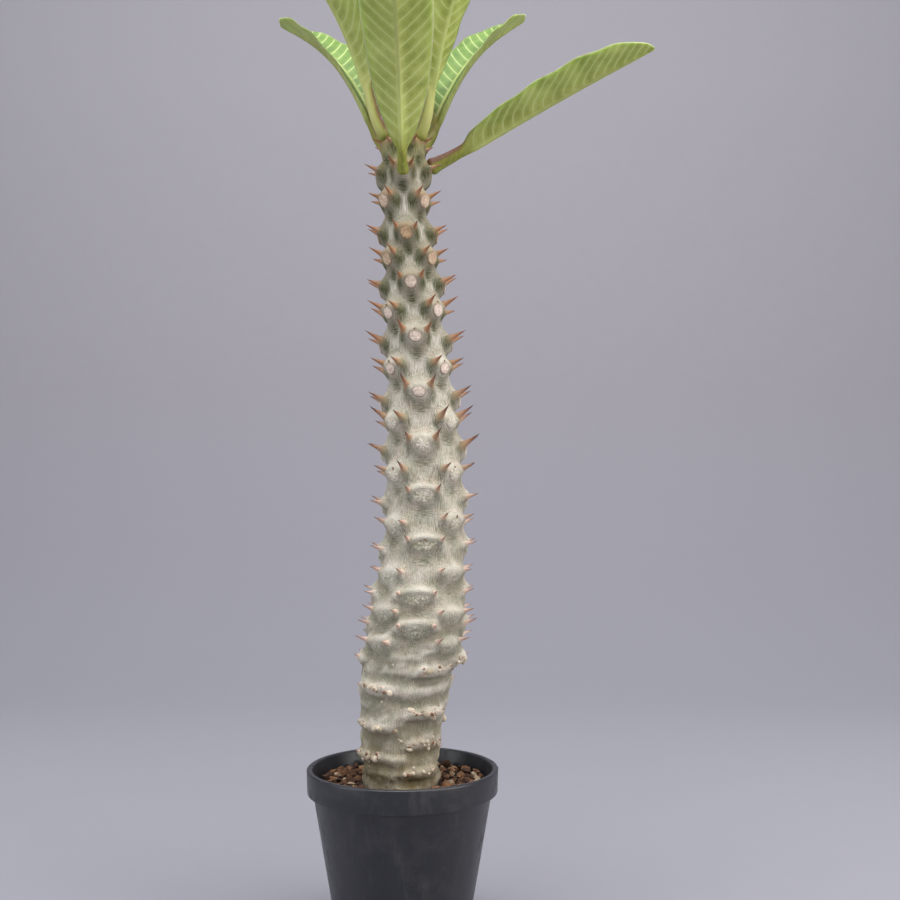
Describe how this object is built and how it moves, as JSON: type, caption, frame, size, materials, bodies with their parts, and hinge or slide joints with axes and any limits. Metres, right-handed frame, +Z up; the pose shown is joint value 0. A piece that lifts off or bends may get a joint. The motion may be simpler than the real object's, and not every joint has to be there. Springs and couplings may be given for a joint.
{
  "type": "potted pachypodium baronii",
  "caption": "Tall grey-green succulent stem set with paired spines on raised knobs, with a crown of long leaves, growing in gritty soil in a round tapered pot.",
  "frame": {"origin": "centre of the pot's foot, on the surface that the pot stands on", "axes": "+Z up along the pot's axis; -Y towards the front, the side seen in the picture; the stem leans slightly towards +X"},
  "size_m": [0.2131, 0.2067, 0.5476],
  "materials": {
    "pot": "satin black plastic, slightly scuffed on the lip",
    "soil": "dry matte grains of baked clay and pumice",
    "bark": "silvery grey-green bark, finely wrinkled, dull",
    "leaf": "fresh green, slightly glossy",
    "young_leaf": "pale yellow-green, slightly glossy"
  },
  "bodies": {
    "root": {"pot": "pot", "soil": "soil", "stem": "bark", "leaf_front": "leaf", "leaf_right": "leaf", "leaf_back": "leaf", "leaf_left_upper": "leaf", "leaf_right_upper": "leaf", "leaf_back_left": "leaf", "leaf_back_right": "leaf", "leaf_young_left": "young_leaf", "leaf_young_right": "young_leaf", "leaf_young_back": "young_leaf"}
  },
  "joints": []
}
